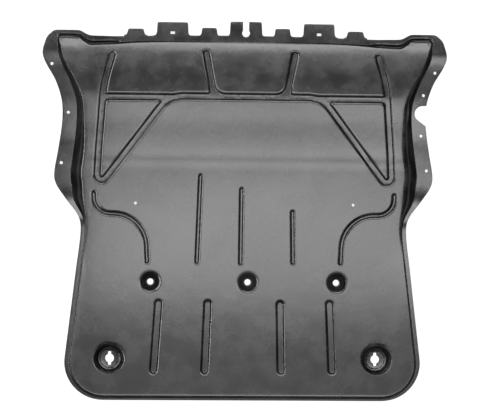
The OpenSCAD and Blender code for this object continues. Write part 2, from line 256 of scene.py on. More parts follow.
@dataclass(frozen=True)
class ShieldPlastic:
    """Satin black polypropylene, moulded, with grain, slow mottling and light scuffs."""

    name: str = "shield_plastic_satin_black"
    colour: Triple = (0.0045, 0.0045, 0.0047)
    pale: Triple = (0.02, 0.02, 0.0205)
    scuffed: Triple = (0.085, 0.085, 0.083)
    pale_span: tuple[float, float] = (0.36, 0.66)
    scuff_share: float = 0.05
    roughness: float = 0.12
    dull_roughness: float = 0.04
    scuff_roughness: float = 0.015
    mottle_roughness: float = 0.12
    bump_strength: float = 0.2
    bump_distance: float = 0.0006

    def build(self) -> bpy.types.Material:
        """Builds the material.

        Returns:
            The material.
        """
        material = bpy.data.materials.new(self.name)
        material.use_nodes = True
        links = Links(material.node_tree)
        shader = material.node_tree.nodes["Principled BSDF"]
        shader.inputs["Specular IOR Level"].default_value = 0.5
        place = links.add("ShaderNodeTexCoord").outputs["Object"]
        grain = links.add("ShaderNodeGroup", node_tree=MouldGrain().build())
        wear = links.add("ShaderNodeGroup", node_tree=HandlingWear().build())
        links.join(place, grain.inputs["Place"])
        links.join(place, wear.inputs["Place"])
        base = links.add("ShaderNodeMix", data_type="RGBA")
        links.join(links.ramp(grain.outputs["Mottle"], self.pale_span), base.inputs["Factor"])
        base.inputs["A"].default_value = (*self.colour, 1.0)
        base.inputs["B"].default_value = (*self.pale, 1.0)
        worn = links.add("ShaderNodeMix", data_type="RGBA")
        links.join(links.math("MULTIPLY", wear.outputs["Scuff"], self.scuff_share), worn.inputs["Factor"])
        links.join(base.outputs["Result"], worn.inputs["A"])
        worn.inputs["B"].default_value = (*self.scuffed, 1.0)
        links.join(worn.outputs["Result"], shader.inputs["Base Color"])
        dull = links.math("MULTIPLY", wear.outputs["Dull"], self.dull_roughness)
        rubbed = links.math("MULTIPLY", wear.outputs["Scuff"], self.scuff_roughness)
        fine = links.math("MULTIPLY", grain.outputs["Mottle"], self.mottle_roughness)
        total = links.math("ADD", links.math("ADD", links.math("ADD", dull, rubbed), fine), self.roughness)
        links.join(total, shader.inputs["Roughness"])
        bump = links.add("ShaderNodeBump")
        bump.inputs["Strength"].default_value = self.bump_strength
        bump.inputs["Distance"].default_value = self.bump_distance
        links.join(grain.outputs["Height"], bump.inputs["Height"])
        links.join(bump.outputs["Normal"], shader.inputs["Normal"])
        return material


@dataclass(frozen=True)
class StudioFloor:
    """Plain pale floor. The camera sees it as white where no shadow falls."""

    name: str = "studio_floor_white"
    colour: Triple = (0.2, 0.2, 0.2)
    seen: float = 0.9
    mirrored_share: float = 0.05

    def build(self) -> bpy.types.Material:
        """Builds the material.

        Returns:
            The material.
        """
        material = bpy.data.materials.new(self.name)
        material.use_nodes = True
        links = Links(material.node_tree)
        shader = material.node_tree.nodes["Principled BSDF"]
        shader.inputs["Base Color"].default_value = (*self.colour, 1.0)
        shader.inputs["Roughness"].default_value = 0.8
        shader.inputs["Emission Color"].default_value = (1.0, 1.0, 1.0, 1.0)
        path = links.add("ShaderNodeLightPath")
        seen = links.math("MAXIMUM", path.outputs["Is Camera Ray"], path.outputs["Is Transmission Ray"])
        direct = links.math("MULTIPLY", seen, self.seen)
        gloss = links.math("MULTIPLY", path.outputs["Is Glossy Ray"], self.mirrored_share)
        links.join(links.math("ADD", direct, gloss), shader.inputs["Emission Strength"])
        return material


class Tools:
    """Helpers for any piece of the object."""

    @staticmethod
    def alone(piece: bpy.types.Object) -> None:
        """Deselects everything, then selects one object and makes it active.

        Args:
            piece: the object.
        """
        bpy.ops.object.select_all(action="DESELECT")
        piece.select_set(True)
        bpy.context.view_layer.objects.active = piece

    @staticmethod
    def finish(piece: bpy.types.Object, material: bpy.types.Material) -> None:
        """Dresses a piece of the object with its material, and attaches it to its body.

        Args:
            piece: the finished mesh object.
            material: its only material.
        """
        piece.data.materials.clear()
        piece.data.materials.append(material)
        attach(piece, BODY)
        LOG.info("%s: %d faces", piece.name, len(piece.data.polygons))


@dataclass(frozen=True)
class Profile:
    """Smooth curve through given values, as used along the shield's length and up its wall."""

    at: tuple[float, ...]
    values: tuple[float, ...]
    level_ends: bool = False

    @classmethod
    def through(cls, rows: tuple[tuple[float, ...], ...], column: int = 1,
                level_ends: bool = False) -> "Profile":
        """Makes the curve of one column of a table against its first column."""
        return cls(tuple(r[0] for r in rows), tuple(r[column] for r in rows), level_ends)

    def read(self, places: np.ndarray) -> np.ndarray:
        """Reads the curve.

        Args:
            places: where to read it.

        Returns:
            Its value at each place, level beyond both ends.
        """
        at, values = np.array(self.at), np.array(self.values)
        slopes = np.empty(len(at))
        slopes[1:-1] = (values[2:] - values[:-2]) / (at[2:] - at[:-2])
        slopes[0] = (values[1] - values[0]) / (at[1] - at[0])
        slopes[-1] = (values[-1] - values[-2]) / (at[-1] - at[-2])
        if self.level_ends:
            slopes[0] = slopes[-1] = 0.0
        spots = np.clip(places, at[0], at[-1])
        i = np.clip(np.searchsorted(at, spots, side="right") - 1, 0, len(at) - 2)
        span = at[i + 1] - at[i]
        u = (spots - at[i]) / span
        rise = (3 * u**2 - 2 * u**3) * (values[i + 1] - values[i]) + values[i]
        return rise + (u**3 - 2 * u**2 + u) * slopes[i] * span + (u**3 - u**2) * slopes[i + 1] * span


def arc(centre: Point, radius: float, start: float, end: float, steps: int) -> list[Point]:
    """Lays points along an arc.

    Args:
        centre: its centre.
        radius: its radius.
        start: angle of its first point, in degrees.
        end: angle of its last point, in degrees.
        steps: number of parts.

    Returns:
        The points.
    """
    angles = np.radians(np.linspace(start, end, steps + 1))
    return [(centre[0] + radius * math.cos(a), centre[1] + radius * math.sin(a)) for a in angles]


def mirrored(path: list[Point]) -> list[Point]:
    """Mirrors a path across the shield's middle."""
    return [(-x, y) for x, y in path]


def ring(centre: Point, radius: float, parts: int) -> np.ndarray:
    """Lays a full circle of points, its last angle taken to a thousandth of a degree."""
    return np.array(arc(centre, radius, 0.0, round(360.0 - 360.0 / parts, 3), parts - 1))


def refined(path: list[Point], step: float, closed: bool = False) -> np.ndarray:
    """Divides a path's parts so that none is longer than a step.

    Args:
        path: its points.
        step: the longest part.
        closed: whether it returns to its first point.

    Returns:
        The points as an array.
    """
    points = [np.array(p, float) for p in path]
    pairs = list(zip(points, points[1:] + points[:1])) if closed else list(zip(points, points[1:]))
    out = []
    for a, b in pairs:
        parts = max(1, math.ceil(float(np.linalg.norm(b - a)) / step))
        out += [a + (b - a) * k / parts for k in range(parts)]
    if not closed:
        out.append(points[-1])
    return np.array(out)


def inside(points: np.ndarray, loop: np.ndarray) -> np.ndarray:
    """Tells which points lie inside a closed loop.

    Args:
        points: the points, one row each.
        loop: the loop's corners.

    Returns:
        True for each point inside.
    """
    found = np.zeros(len(points), bool)
    x, y = points[:, 0], points[:, 1]
    for (ax, ay), (bx, by) in zip(loop, np.roll(loop, -1, axis=0)):
        if ay == by:
            continue
        crosses = (ay > y) != (by > y)
        found ^= crosses & (x < ax + (y - ay) * (bx - ax) / (by - ay))
    return found


def line_gap(points: np.ndarray, line: np.ndarray) -> np.ndarray:
    """Measures how far points are from a line of straight parts.

    Args:
        points: the points, one row each.
        line: the line's points in order.

    Returns:
        Each point's distance.
    """
    best = np.full(len(points), np.inf)
    for a, b in zip(line, line[1:]):
        part = b - a
        share = np.clip(((points - a) @ part) / max(float(part @ part), 1e-9), 0.0, 1.0)
        best = np.minimum(best, np.linalg.norm(points - a - share[:, None] * part, axis=1))
    return best


@dataclass
class Bead:
    """A pressed bead: a groove of even width along a path, with rounded sides and ends."""

    path: list[Point]
    size: BeadSize
    depth: float = 4.0
    slope: float = 55.0
    turn: float = 20.0
    brow_r: float = 12.0
    edge_r: float = 2.2
    foot_r: float = 2.4
    inset: float = 1.7
    step: float = 9.0

    def __post_init__(self) -> None:
        """Trims the path, so that the rounded ends reach its two end points."""
        self.width = self.size.value
        self.line = self.shorter(self.shorter(refined(self.path, self.step))[::-1])[::-1]

    def shorter(self, points: np.ndarray) -> np.ndarray:
        """Cuts half the width off the start of a line.

        Args:
            points: the line's points.

        Returns:
            The rest of the line.
        """
        reach = self.width / 2
        travelled = np.concatenate([[0.0], np.cumsum(np.linalg.norm(np.diff(points, axis=0), axis=1))])
        first = int(np.searchsorted(travelled, reach))
        share = (reach - travelled[first - 1]) / (travelled[first] - travelled[first - 1])
        start = points[first - 1] + (points[first] - points[first - 1]) * share
        return np.vstack([start, points[first:]])

    def section(self) -> tuple[np.ndarray, np.ndarray]:
        """Lays the bead's side in section: a wide brow, a steep flank and a rounded foot.

        Returns:
            Distances outwards from the bead's edge, and how far the sheet sinks at each.
        """
        lean, turn = math.radians(self.slope), math.radians(self.turn)
        brow = [(self.brow_r, a) for a in np.linspace(0.0, turn, 5)[1:]]
        brow += [(self.edge_r, a) for a in np.linspace(turn, lean, 5)[1:]]
        run, drop, last = 0.0, 0.0, 0.0
        outer = [(0.0, 0.0)]
        for radius, angle in brow:
            run += radius * (math.sin(angle) - math.sin(last))
            drop += radius * (math.cos(last) - math.cos(angle))
            outer.append((run, drop))
            last = angle
        foot_drop = self.foot_r * (1 - math.cos(lean))
        flank = (self.depth - drop - foot_drop) / math.tan(lean)
        inner = [(run + flank + self.foot_r * (math.sin(lean) - math.sin(a)),
                  self.depth - self.foot_r * (1 - math.cos(a))) for a in np.linspace(lean, 0.0, 5)]
        table = np.array(outer + inner)[::-1]
        return run + flank / 2 - self.inset - table[:, 0], table[:, 1]

    def beyond(self, points: np.ndarray) -> np.ndarray:
        """Measures how far each point is outside the bead's edge."""
        return line_gap(points, self.line) - self.width / 2

    def loops(self) -> list[np.ndarray]:
        """Lays the contour lines of the bead's sides.

        Returns:
            One closed loop for each step of its section, and one past its brow.
        """
        steps = self.section()[0] + self.width / 2
        return [self.around(gap) for gap in (*steps[[0, 2]], *steps[4:], steps[-1] + 1.2)]

    def around(self, gap: float) -> np.ndarray:
        """Lays a line around the bead at an even distance from its middle line.

        Args:
            gap: the distance.

        Returns:
            The line's points.
        """
        ahead = np.gradient(self.line, axis=0)
        ahead /= np.linalg.norm(ahead, axis=1)[:, None]
        side = np.stack([ahead[:, 1], -ahead[:, 0]], axis=1)
        points = []
        for line, facing, way in ((self.line, side, ahead), (self.line[::-1], -side[::-1], -ahead[::-1])):
            points += list(line[1:-1] + facing[1:-1] * gap)
            for angle in np.radians(np.linspace(0.0, 180.0, 9)):
                points.append(line[-1] + gap * (facing[-1] * math.cos(angle) + way[-1] * math.sin(angle)))
        return np.array(points)


@dataclass
class Cup:
    """A bolt cup: a drafted round well with a rounded mouth and a flat floor."""

    x: float
    y: float
    floor_z: float
    mouth_r: float
    mouth_z: float
    slope: float
    brow_r: float
    ledge: float = 0.0
    turn: float = 20.0
    edge_r: float = 2.0
    foot_r: float = 2.5
    parts: int = 56

    @property
    def reach(self) -> float:
        """Gives the radius where the mouth's rounding begins."""
        return self.mouth_r + 0.27 * self.brow_r

    def section(self) -> tuple[np.ndarray, np.ndarray]:
        """Lays the well's side in section, from its ledge out to past its mouth.

        Returns:
            Radii and heights.
        """
        lean, turn = math.radians(self.slope), math.radians(self.turn)
        across, drop, last = self.reach, 0.0, 0.0
        outer = [(across, 0.0)]
        brow = [(self.brow_r, a) for a in np.linspace(0.0, turn, 5)[1:]]
        brow += [(self.edge_r, a) for a in np.linspace(turn, lean, 5)[1:]]
        for radius, angle in brow:
            across -= radius * (math.sin(angle) - math.sin(last))
            drop += radius * (math.cos(last) - math.cos(angle))
            outer.append((across, drop))
            last = angle
        deep = self.mouth_z - self.floor_z - self.ledge
        low = deep - self.foot_r * (1 - math.cos(lean))
        start = across - (low - drop) / math.tan(lean)
        walls = [(across + (start - across) * k, drop + (low - drop) * k) for k in (0.33, 0.67)]
        foot = [(start - self.foot_r * (math.sin(lean) - math.sin(a)), deep - self.foot_r * (1 - math.cos(a)))
                for a in np.linspace(lean, 0.0, 5)]
        end = foot[-1][0]
        floor = [(end - 1.5, deep), (end - 2.6, deep + self.ledge / 2), (end - 3.7, deep + self.ledge)]
        table = np.array(outer + walls + foot + (floor if self.ledge else []))[::-1]
        return table[:, 0], self.mouth_z - table[:, 1]

    def loops(self) -> list[np.ndarray]:
        """Lays the well's contour lines, from its floor to past its mouth."""
        radii = [*self.section()[0], self.reach + 3.0]
        return [ring((self.x, self.y), r, self.parts) for r in radii]

    def lower(self, points: np.ndarray, heights: np.ndarray) -> np.ndarray:
        """Lowers the heights of the points that lie in the well."""
        far = np.hypot(points[:, 0] - self.x, points[:, 1] - self.y)
        return np.where(far < self.reach, np.minimum(heights, np.interp(far, *self.section())), heights)


@dataclass
class FormedSheet:
    """The shield's moulded sheet, shown in place of the CAD node of the same shape.

    Its outline, wall rings, bead contours and holes are laid out in plan, in millimetres, and joined by a
    constrained triangulation, because grooves that run into each other on a lofted sheet can't be made
    from a primitive. The rim is then rounded with a bevel.
    """

    thickness: float = 3.0
    panel_z: float = 36.0
    front_rise: float = 8.0
    lip_z: float = 34.0
    rim_z: float = 19.0
    front_y: float = 402.0
    rear_y: float = 434.0
    corner_r: float = 88.0
    wing: float = 464.0
    neck: float = 420.0
    flare: float = 438.0
    waist: float = 374.0
    rear: float = 408.5
    side_start: float = 368.0
    cross_y: float = 261.0
    corner_reach: float = 16.0
    corner_blend: float = 10.0
    corner_step: float = 2.0
    rear_cup: Point = (306.0, -340.0)
    mid_cup_y: float = -163.0
    mid_cup_xs: Triple = (-214.0, 9.0, 213.0)
    small_hole_r: float = 3.5
    wing_dip: float = 7.0
    margin: float = 12.0
    margin_drop: float = 1.0
    margin_left: float = 0.25
    ridge: float = 0.6
    brow_gaps: Triple = (1.2, 3.2, 5.2)
    ring_shares: tuple[float, ...] = (0.0, 0.05, 0.12, 0.2, 0.3, 0.42, 0.54, 0.66, 0.76, 0.85, 0.93, 1.0)
    rim_bevel: float = 0.55
    crisp_angle: float = 50.0

    def panel(self) -> Profile:
        """Gives the panel's height along the shield's length.

        Returns:
            The height over y.
        """
        rise = self.front_rise
        front = self.panel_z + rise
        rows = ((-self.rear_y, self.panel_z - 5.0), (-300.0, self.panel_z - 1.25), (-180.0, self.panel_z),
                (96.0, self.panel_z), (108.0, self.panel_z + 0.04 * rise), (128.0, self.panel_z + 0.3 * rise),
                (150.0, self.panel_z + 0.42 * rise), (205.0, self.panel_z + 0.6 * rise),
                (245.0, self.panel_z + 0.87 * rise), (264.0, self.panel_z + 0.98 * rise), (285.0, front),
                (305.0, front - 0.2), (325.0, front - 0.75), (345.0, front - 1.55), (368.0, front - 2.6),
                (381.0, front - 3.7), (388.0, front - 5.0))
        return Profile.through(rows)

    def flange(self) -> Profile:
        """Gives the side flange's height along the shield's length.

        Returns:
            The height over y.
        """
        low = self.thickness
        rows = ((-46.0, self.rim_z), (-21.0, self.rim_z - 2.0), (25.0, low + 3.0), (62.0, low), (163.0, low),
                (209.0, low + 3.0), (255.0, low + 9.0), (301.0, self.lip_z - 12.0), (326.0, self.lip_z - 5.6),
                (347.0, self.lip_z - 1.6), (self.side_start, self.lip_z))
        return Profile.through(rows, level_ends=True)

    def side_rows(self) -> tuple[tuple[float, float, float, float], ...]:
        """Gives the half width, flange width and wall run along each side, from rear to front.

        Returns:
            Rows of y, half width, flange width and wall run.
        """
        return ((self.corner_r - self.rear_y, self.rear, 9.0, 5.0), (-136.0, self.waist + 10.0, 9.0, 5.0),
                (-44.0, self.waist, 9.0, 6.0), (-14.0, self.waist + 6.0, 9.0, 10.0),
                (25.0, self.flare - 28.0, 17.0, 26.0), (60.0, self.flare - 4.0, 36.0, 29.0),
                (83.0, self.flare, 37.0, 29.0), (140.0, self.flare - 9.0, 35.0, 28.0),
                (209.0, self.neck, 33.0, 20.0), (255.0, self.neck + 2.0, 33.0, 18.0),
                (301.0, self.wing - 27.0, 32.0, 15.0),
                (324.0, self.wing - 13.0, 35.0, 12.0), (352.0, self.wing, 36.0, 12.0),
                (self.side_start, self.wing - 1.0, 34.0, 9.0))

    def front_stations(self) -> list[tuple[Point, ...]]:
        """Gives the outer edge, wall foot and wall brow round the front, on the right half.

        Returns:
            Rows of three places in plan.
        """
        f, w = self.front_y, self.wing
        return [((0.0, f), (0.0, f - 12), (0.0, f - 14)),
                ((30.0, f), (30.0, f - 12), (30.0, f - 14)),
                ((120.0, f - 1), (120.0, f - 13), (120.0, f - 16)),
                ((190.0, f - 2), (190.0, f - 14), (190.0, f - 18)),
                ((255.0, f - 4), (255.0, f - 16), (254.0, f - 21)),
                ((300.0, f - 5), (300.0, f - 19), (299.0, f - 25)),
                ((356.0, f - 4), (356.0, f - 22), (357.0, f - 28)),
                ((364.0, f - 1), (364.0, f - 17), (366.0, f - 22)),
                ((379.0, f + 8), (379.0, f - 5), (381.0, f - 10)),
                ((w - 64, f + 8), (w - 64, f - 4), (w - 64, f - 8)),
                ((w - 26, f + 8), (w - 37, f - 4), (w - 40, f - 8)),
                ((w - 9, f - 8), (w - 33, f - 10), (w - 38, f - 15))]

    def stations(self) -> np.ndarray:
        """Lays the stations of the right half, from the front's middle to the rear's middle.

        Returns:
            An array of stations, each with its outer edge, wall foot and wall brow.
        """
        front = np.array(self.front_stations(), float)
        rows = self.side_rows()
        side_end = rows[0][0]
        ys = np.linspace(self.side_start, side_end, 140)
        edge, flange, run = (Profile.through(rows, column).read(ys) for column in (1, 2, 3))
        columns = (edge, edge - flange, edge - flange - run)
        side = np.stack([np.stack([c, ys], axis=1) for c in columns], axis=1)
        centre = (self.rear - self.corner_r, side_end)
        corner = []
        for angle in range(4, 91, 4):
            rim = 9.0 + (5.0 - 9.0) * angle / 90
            radii = (self.corner_r, self.corner_r - rim, self.corner_r - rim - 5.0)
            corner.append([arc(centre, r, -angle, -angle, 1)[0] for r in radii])
        end_y = -self.rear_y
        last = [[(x, end_y), (x, end_y + 5.0), (x, end_y + 10.0)] for x in (centre[0], 0.0)]
        chain = np.concatenate([front, side, np.array(corner), np.array(last)])
        parts = []
        for place, (a, b) in enumerate(zip(chain, chain[1:])):
            step = 4.0 if 3 < place <= len(front) else 8.0
            count = max(1, math.ceil(float(np.linalg.norm(b[0] - a[0])) / step))
            parts += [a + (b - a) * k / count for k in range(count)]
        parts.append(chain[-1])
        smooth = np.array(parts)
        for _ in range(3):
            smooth[1:-1] = (smooth[:-2] + 2 * smooth[1:-1] + smooth[2:]) / 4
        return smooth

    def rings(self) -> list[tuple[np.ndarray, np.ndarray]]:
        """Lays the rings from the outer edge up the wall.

        Returns:
            For each ring its closed loop in plan and its heights.
        """
        right = self.stations()
        left = right[::-1][1:-1] * np.array([-1.0, 1.0])
        whole = np.concatenate([right, left])
        edge, foot, brow = whole[:, 0], whole[:, 1], whole[:, 2]
        low = np.where(edge[:, 1] > self.side_start, self.lip_z, self.flange().read(foot[:, 1]))
        high = self.panel().read(brow[:, 1]) - self.margin_fall(brow, np.zeros(len(brow)))
        low = np.minimum(np.maximum(low, self.thickness), high - 4.0)
        dip = self.wing_dip * self.wing_share(foot)
        rings = [(edge, low)]
        for share, part in ((0.34, 0.0), (0.27, 0.12), (0.16, 0.6), (0.08, 0.93), (0.025, 1.0)):
            rings.append((foot + (edge - foot) * share, low - dip * part))
        low = low - dip
        climb = Profile((0.0, 0.06, 0.2, 0.6, 0.78, 1.0), (0.0, 0.03, 0.17, 0.73, 0.91, 1.0), True)
        for share in self.ring_shares:
            height = low + (high - low) * float(climb.read(np.array(share)))
            rings.append((foot + (brow - foot) * share, height))
        return rings

    def margin_fall(self, points: np.ndarray, gaps: np.ndarray) -> np.ndarray:
        """Tells how far the panel's side margins fall towards the wall.

        Args:
            points: places in plan.
            gaps: distance of each place from the panel's brow line.

        Returns:
            The fall at each place.
        """
        rows = ((-200.0, 0.25), (-90.0, 0.4), (-40.0, 1.0), (290.0, 1.0), (345.0, 0.0))
        along = Profile.through(rows, level_ends=True).read(points[:, 1])
        beside = Profile((330.0, 350.0), (0.0, 1.0), True).read(np.abs(points[:, 0]))
        drop = np.where(points[:, 0] > 0, self.margin_drop, self.margin_left)
        return drop * along * beside * np.clip(1 - gaps / self.margin, 0.0, 1.0) ** 2

    def ridge_rise(self, points: np.ndarray, gaps: np.ndarray) -> np.ndarray:
        """Tells how far the faint ridge inside the rear edge rises.

        Args:
            points: places in plan.
            gaps: distance of each place from the panel's brow line.

        Returns:
            The rise at each place.
        """
        along = Profile((-150.0, -90.0), (1.0, 0.0), True).read(points[:, 1])
        top, foot = self.brow_gaps[0], self.brow_gaps[-1]
        swell = Profile((0.0, top, foot, foot + 2.0), (0.0, 1.0, 0.08, 0.0), True)
        return self.ridge * along * swell.read(gaps)

    def brow_loops(self) -> list[np.ndarray]:
        """Lays the lines that follow the panel's brow on its inner side.

        Returns:
            One closed loop for each gap.
        """
        brow = self.rings()[-1][0][::2]
        ahead = np.roll(brow, -1, axis=0) - np.roll(brow, 1, axis=0)
        ahead /= np.linalg.norm(ahead, axis=1)[:, None]
        inwards = np.stack([ahead[:, 1], -ahead[:, 0]], axis=1)
        return [brow + inwards * gap for gap in self.brow_gaps]

    def wing_share(self, points: np.ndarray) -> np.ndarray:
        """Tells where the lip dips to a groove along the wings' walls, from 0 to 1.

        Args:
            points: places in plan.

        Returns:
            The share at each place.
        """
        across = Profile((284.0, 306.0), (0.0, 1.0), True).read(np.abs(points[:, 0]))
        corner = Profile((418.0, 430.0), (1.0, 0.0), True).read(np.abs(points[:, 0]))
        return across * corner * Profile((372.0, 380.0), (0.0, 1.0), True).read(points[:, 1])

    def frame_half(self) -> list[Point]:
        """Lays the right half of the frame bead: side, foot of the V, diagonal and shoulder.

        Returns:
            Its path, from the front to the middle of the cross bead.
        """
        turn, r, shoulder_r = 143.0, 11.0, 65.0
        foot = (326.0, 80.0)
        end = (foot[0] + r * math.cos(math.radians(turn)), foot[1] - r * math.sin(math.radians(turn)))
        lean = math.radians(180.0 - turn)
        out, up = shoulder_r * math.cos(lean), shoulder_r * math.sin(lean)
        sy = self.cross_y - shoulder_r
        sx = end[0] - out - (sy + up - end[1]) * math.tan(lean)
        top = (sx + out, sy + up)
        side = [(303.0, 362.0), (317.0, 312.0), *arc((92.0, 246.0), 234.0, 13.0, 3.0, 6), (328.0, 225.0)]
        return [*side, (334.0, 140.0), *arc(foot, r, 0.0, -turn, 14), (end[0] - 13.0, end[1] + 17.0), top,
                *arc((sx, sy), shoulder_r, math.degrees(lean) + 6, 90.0, 12)]

    def beads(self) -> list[Bead]:
        """Lays all the pressed beads.

        Returns:
            The beads, with those of the frame first.
        """
        y = self.cross_y
        half = self.frame_half()
        window = [(329.0, y - 3.0), (150.0, y - 3.0)]
        paths = [half + mirrored(half)[::-1], window, mirrored(window)]
        for top, low in (((-92.0, 368.0), (-72.0, y)), ((114.0, 366.0), (94.0, y))):
            side, r, lean = math.copysign(1.0, low[0]), 31.0, 11.0
            cx = low[0] + (top[0] - low[0]) / (top[1] - low[1]) * r - side * r / math.cos(math.radians(lean))
            quarter = arc((cx, y + r), r, lean, 90.0, 10)
            turn = [(cx + side * (px - cx), 2 * (y + r) - py) for px, py in quarter]
            middle = ((top[0] + low[0]) / 2, (top[1] + low[1]) / 2)
            paths += [[top, low], [middle, *turn, (cx - side * r, y)]]
        beads = [Bead(path, BeadSize.FRAME) for path in paths]
        bend = [(344.0, 43.0), *arc((306.0, 30.0), 38.0, 0.0, -90.0, 12),
                *arc((299.0, -84.0), 76.0, 90.0, 180.0, 18), (221.0, -122.0)]
        beads += [Bead(path, BeadSize.NARROW) for path in (bend, mirrored(bend))]
        for ends in (((-101.0, 84.0), (-108.0, -122.0)), ((-7.0, 54.0), (-8.0, -124.0)),
                     ((110.0, 3.0), (112.0, -122.0))):
            beads.append(Bead(list(ends), BeadSize.NARROW))
        for ends in (((-194.0, -203.0), (-205.0, -373.0)), ((-82.0, -203.0), (-88.0, -373.0)),
                     ((83.0, -204.0), (87.0, -373.0)), ((196.0, -203.0), (204.0, -372.0))):
            beads.append(Bead(list(ends), BeadSize.REAR))
        return beads

    def corners(self) -> np.ndarray:
        """Places the inner corners where beads meet, which the mould rounds.

        Returns:
            The corners in plan.
        """
        low, high = self.cross_y - 11.0, self.cross_y + 9.0
        half = [(197.0, low), (320.0, low), (317.0, 98.0)]
        return np.array([*half, *mirrored(half), (-82.0, high), (104.0, high)])

    def finer(self, loop: np.ndarray) -> np.ndarray:
        """Divides the parts of a loop that pass close to a rounded corner.

        Args:
            loop: the loop's points.

        Returns:
            The loop with the points added.
        """
        out = []
        for a, b in zip(loop, np.roll(loop, -1, axis=0)):
            near = float(np.linalg.norm(self.corners() - (a + b) / 2, axis=1).min()) < self.corner_reach
            parts = max(1, math.ceil(float(np.linalg.norm(b - a)) / self.corner_step)) if near else 1
            out += [a + (b - a) * k / parts for k in range(parts)]
        return np.array(out)

    def sink(self, points: np.ndarray) -> np.ndarray:
        """Tells how far the beads sink the sheet at each point, with their inner corners rounded.

        Args:
            points: places in plan.

        Returns:
            The depth at each place.
        """
        beads = self.beads()
        gaps = np.sort(np.stack([bead.beyond(points) for bead in beads]), axis=0)
        far = np.linalg.norm(points[:, None] - self.corners()[None], axis=2).min(axis=1)
        weight = np.clip(1.6 * (1 - far / self.corner_reach), 0.0, 1.0)
        close = np.clip(1 - (gaps[1] - gaps[0]) / self.corner_blend, 0.0, 1.0)
        return np.interp(gaps[0] - weight * close**2 * self.corner_blend / 4, *beads[0].section())

    def cups(self) -> list[Cup]:
        """Places the five bolt cups.

        Returns:
            The cups, the two deep ones first.
        """
        x, rear_y, mid_y = *self.rear_cup, self.mid_cup_y
        rear_z, mid_z = (float(z) for z in self.panel().read(np.array([rear_y, mid_y])))
        cups = [Cup(side * x, rear_y, self.thickness, 35.0, rear_z, 76.0, 14.0, 2.0) for side in (-1, 1)]
        return cups + [Cup(x, mid_y, mid_z - 20.0, 22.5, mid_z, 60.0, 20.0) for x in self.mid_cup_xs]

    def holes(self) -> list[np.ndarray]:
        """Lays the loops of all through holes and of the notch, the small holes first.

        Returns:
            The loops.
        """
        half_width = Profile.through(self.side_rows())
        left, right = ((333.0, 224.0, 108.0), (323.0, 272.0, 179.0, 98.0))
        spots = [(13.0 - float(half_width.read(np.array(y))), y) for y in left]
        spots += [(float(half_width.read(np.array(y))) - 13.0, y) for y in right]
        spots += [(-249.0, 16.0), (249.0, 16.0)]
        loops = [ring(spot, self.small_hole_r, 24) for spot in spots]
        loops += [self.keyed_hole(-self.rear_cup[0]), self.keyed_hole(self.rear_cup[0])]
        loops += [ring((x, self.mid_cup_y), 7.0, 48) for x in self.mid_cup_xs]
        for x in (-168.0, 168.0):
            loops.append(np.array([(x - 5, 404.0), (x + 5, 404.0), (x + 5, 410.0), (x - 5, 410.0)]))
        neck = math.degrees(math.asin(7.0 / 9.0))
        slot = [(7.0, 440.0), (-7.0, 440.0), *arc((0.0, 408.0), 9.0, 90.0 + neck, 450.0 - neck, 24)]
        x, y, r = 412.0, 230.0, 18.0
        notch = [*arc((x, y), r, 90.0, 240.0, 24), (x + 16.0, y - 34.0), (x + 50.0, y - 46.0),
                 (x + 50.0, y + r + 3.0)]
        return [*loops, np.array(slot), np.array(notch)]

    def keyed_hole(self, x: float) -> np.ndarray:
        """Lays the hole of a rear cup: a bore with a key slot at its front and at its rear.

        Args:
            x: the cup's place across.

        Returns:
            The hole's loop.
        """
        y, bore, key, reach = self.rear_cup[1], 10.0, 3.5, 15.5
        corner = math.degrees(math.asin(key / bore))
        side = arc((0.0, 0.0), bore, -90.0 + corner, 90.0 - corner, 16)
        half = [*side, (key, reach - 1.0), (key - 1.0, reach), (1.0 - key, reach), (-key, reach - 1.0)]
        return np.array([(x + px, y + py) for px, py in half] + [(x - px, y - py) for px, py in half])

    def tabs(self) -> list[np.ndarray]:
        """Lays the loops of the seven front tabs, each from inside the lip.

        Returns:
            The loops.
        """
        sizes = [(0.0, 72.0, 32.0)]
        for side in (-1.0, 1.0):
            sizes += [(side * 84.0, 34.0, 17.0), (side * 168.0, 70.0, 29.0), (side * 252.0, 36.0, 13.0)]
        loops = []
        for x, w, reach in sizes:
            f, tip, h = self.front_y, self.front_y + reach, w / 2
            half = [(h + 9, f - 9), (h + 9, f - 2), (h + 6, f - 1.2), (h + 4, f), (h + 2, f + 2.5),
                    (h + 1, f + 6), (h, tip - 3), (h - 1, tip - 1), (h - 3, tip)]
            left = [(x - px, py) for px, py in half[::-1]]
            loops.append(np.array([(x + px, py) for px, py in half] + left))
        return loops

    def plan(self) -> tuple[np.ndarray, list[tuple[int, int]], np.ndarray]:
        """Gathers every point and line of the plan.

        Returns:
            The points, the lines between them, and the known heights (nan where not known yet).
        """
        points: list[np.ndarray] = []
        heights: list[np.ndarray] = []
        lines: list[tuple[int, int]] = []

        def lay(loop: np.ndarray, known: np.ndarray | None = None) -> None:
            """Adds a closed loop of points and lines.

            Args:
                loop: its points.
                known: its heights, where they are known already.
            """
            first = sum(len(p) for p in points)
            points.append(loop)
            heights.append(np.full(len(loop), np.nan) if known is None else known)
            lines.extend((first + k, first + (k + 1) % len(loop)) for k in range(len(loop)))

        rings = self.rings()
        for loop, known in rings:
            lay(loop, known)
        for loop in self.brow_loops():
            lay(loop)
        for bead in self.beads():
            for loop in bead.loops():
                lay(self.finer(loop))
        for cup in self.cups():
            for loop in cup.loops():
                lay(loop)
        holes = self.holes()
        for loop in holes:
            lay(loop)
        for loop in holes[:SMALL_HOLES]:
            centre = loop.mean(axis=0)
            lay(centre + (loop - centre) * 1.4)
            lay(centre + (loop - centre) * 2.2)
        for loop in self.tabs():
            lay(refined([tuple(p) for p in loop], 8.0, True))
        free = self.free_points()
        points.append(free)
        heights.append(np.full(len(free), np.nan))
        return np.concatenate(points), lines, np.concatenate(heights)

